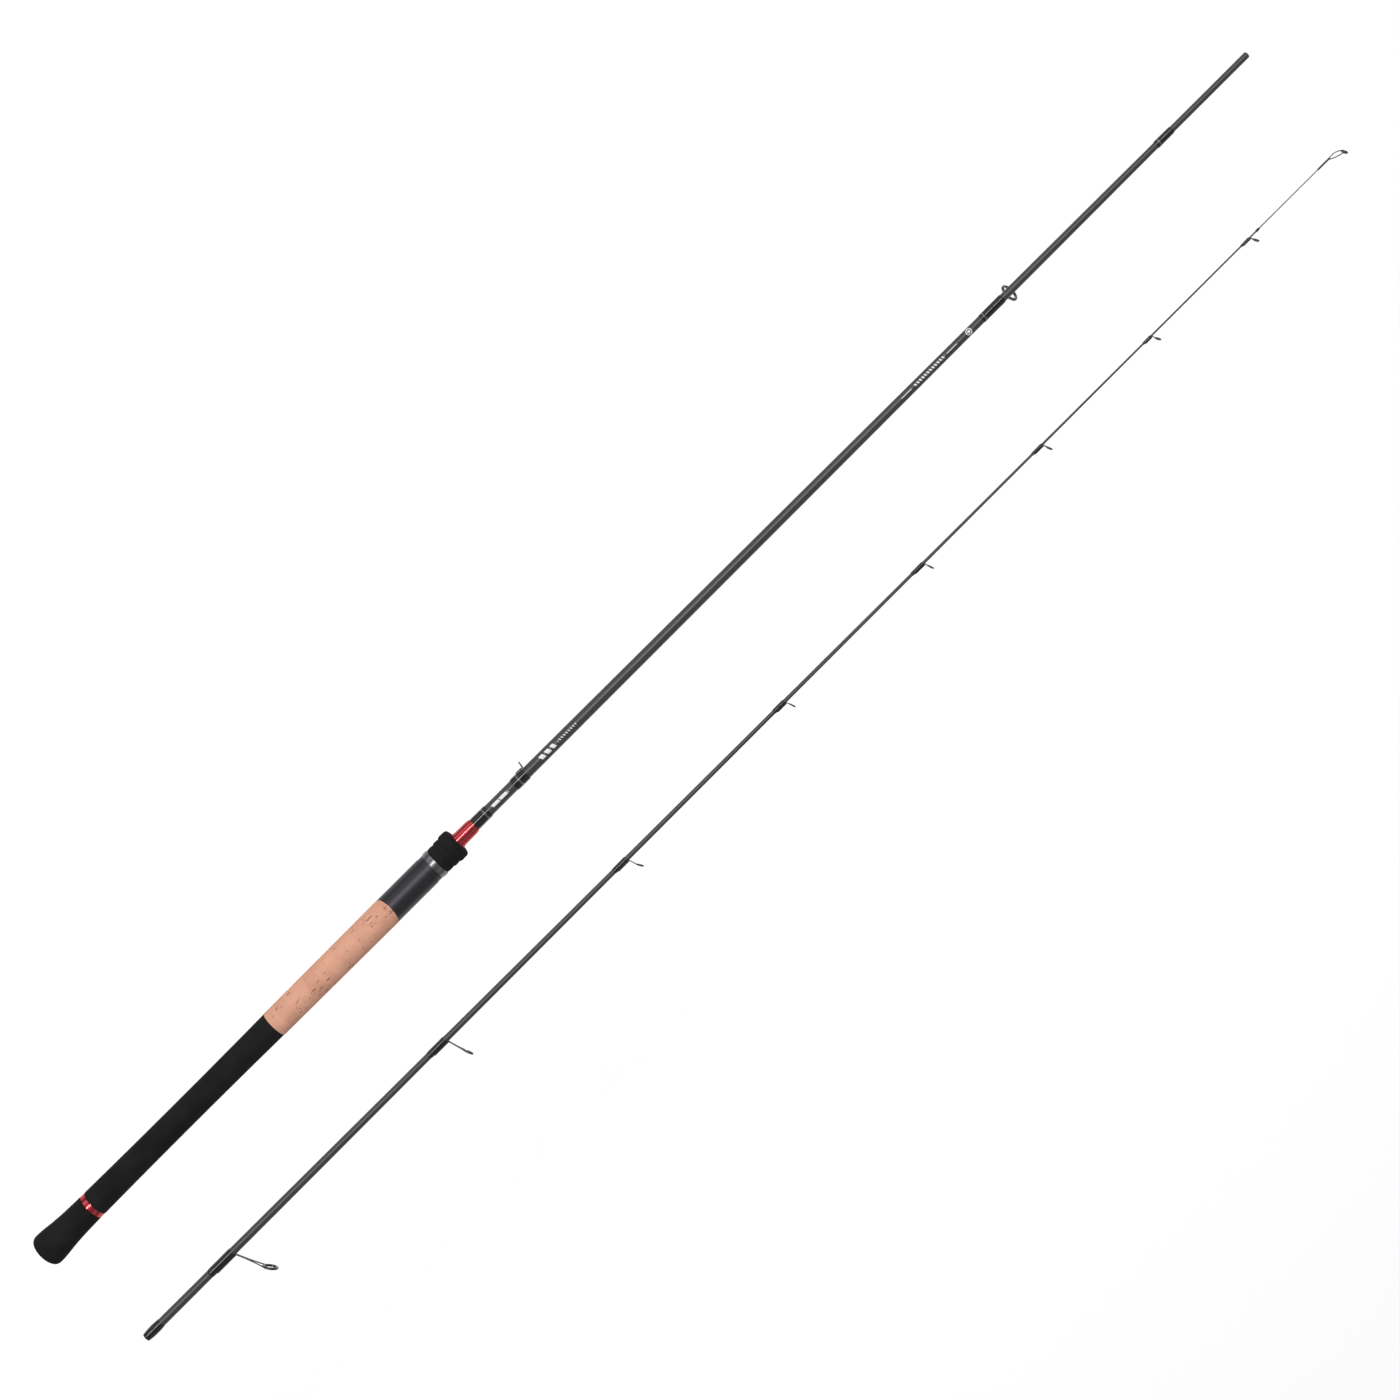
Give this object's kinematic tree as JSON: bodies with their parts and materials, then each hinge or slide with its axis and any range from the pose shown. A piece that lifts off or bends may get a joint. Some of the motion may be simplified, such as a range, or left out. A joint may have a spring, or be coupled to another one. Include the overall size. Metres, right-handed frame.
{
  "type": "spinning rod",
  "caption": "Two-piece spinning rod taken apart: carbon blanks, cork and foam grips, screw reel seat with sliding hood, single-foot line guides and a push-on ferrule.",
  "frame": {"origin": "on the butt section's axis over the middle of a seated reel foot", "axes": "+X along the rod from butt to tip, +Z out of the back of the rod, so the reel and the first guide hang at -Z; the tip section lies beside the butt section at -Y"},
  "size_m": [1.398, 0.1595, 0.0548],
  "materials": {
    "carbon": "satin clear-coated carbon fibre with fine tape ridges",
    "eva_foam": "matt closed-cell foam",
    "red_anodised": "red anodised, gloss",
    "cork": "sanded natural cork with small pits",
    "seat_plastic": "satin black moulding",
    "arbor_foam": "rigid foam bushing",
    "gunmetal": "polished gunmetal",
    "wrap_epoxy": "black thread under gloss epoxy",
    "silver_thread": "metallic silver thread under gloss epoxy",
    "guide_steel": "dark grey coated steel",
    "guide_ceramic": "polished black ceramic"
  },
  "bodies": {
    "butt_section": {"butt_bands": "silver_thread", "butt_blank": "carbon", "butt_knob": "eva_foam", "check_wrap": "wrap_epoxy", "cork_rings": "cork", "guide_1_frame": "guide_steel", "guide_1_ring": "guide_ceramic", "guide_1_wrap": "wrap_epoxy", "hook_keeper": "guide_steel", "keeper_wrap": "wrap_epoxy", "knob_ring": "red_anodised", "rear_grip": "eva_foam", "reel_seat": "seat_plastic", "seat_arbors": "arbor_foam", "stop_wrap": "wrap_epoxy", "winding_check": "red_anodised"},
    "hood": {"sliding_hood": "seat_plastic"},
    "nut": {"lock_nut": "seat_plastic", "nut_ring": "gunmetal", "foregrip": "eva_foam"},
    "ferrule_liner": {"ferrule_sleeve": "carbon"},
    "tip_section": {"ferrule_wrap": "wrap_epoxy", "guide_2_frame": "guide_steel", "guide_2_ring": "guide_ceramic", "guide_2_wrap": "wrap_epoxy", "guide_3_frame": "guide_steel", "guide_3_ring": "guide_ceramic", "guide_3_wrap": "wrap_epoxy", "guide_4_frame": "guide_steel", "guide_4_ring": "guide_ceramic", "guide_4_wrap": "wrap_epoxy", "guide_5_frame": "guide_steel", "guide_5_ring": "guide_ceramic", "guide_5_wrap": "wrap_epoxy", "guide_6_frame": "guide_steel", "guide_6_ring": "guide_ceramic", "guide_6_wrap": "wrap_epoxy", "guide_7_frame": "guide_steel", "guide_7_ring": "guide_ceramic", "guide_7_wrap": "wrap_epoxy", "guide_8_frame": "guide_steel", "guide_8_ring": "guide_ceramic", "guide_8_wrap": "wrap_epoxy", "guide_9_frame": "guide_steel", "guide_9_ring": "guide_ceramic", "guide_9_wrap": "wrap_epoxy", "solid_tip": "carbon", "splice_wrap": "wrap_epoxy", "tip_blank": "carbon", "tip_top_frame": "guide_steel", "tip_top_ring": "guide_ceramic"}
  },
  "joints": [
    {"name": "hood_slide", "type": "slide", "parent": "butt_section", "child": "hood", "axis": [1, 0, 0], "range_m": [0, 0.02]},
    {"name": "nut_turn", "type": "hinge", "parent": "hood", "child": "nut", "pos_m": [0.024, 0, 0], "axis": [1, 0, 0], "range_deg": [0, 3600]},
    {"name": "tip_join", "type": "slide", "parent": "butt_section", "child": "ferrule_liner", "axis": [0.9966, 0.0827, 0], "range_m": [0, 1.30567]},
    {"name": "tip_turn", "type": "hinge", "parent": "ferrule_liner", "child": "tip_section", "pos_m": [-0.4176, -0.108, 0], "axis": [1, 0, 0], "range_deg": [-270, 90]}
  ],
  "couplings": [
    {"joint": "nut_turn", "follows": "hood_slide", "rad_per_m": 3141.6}
  ]
}
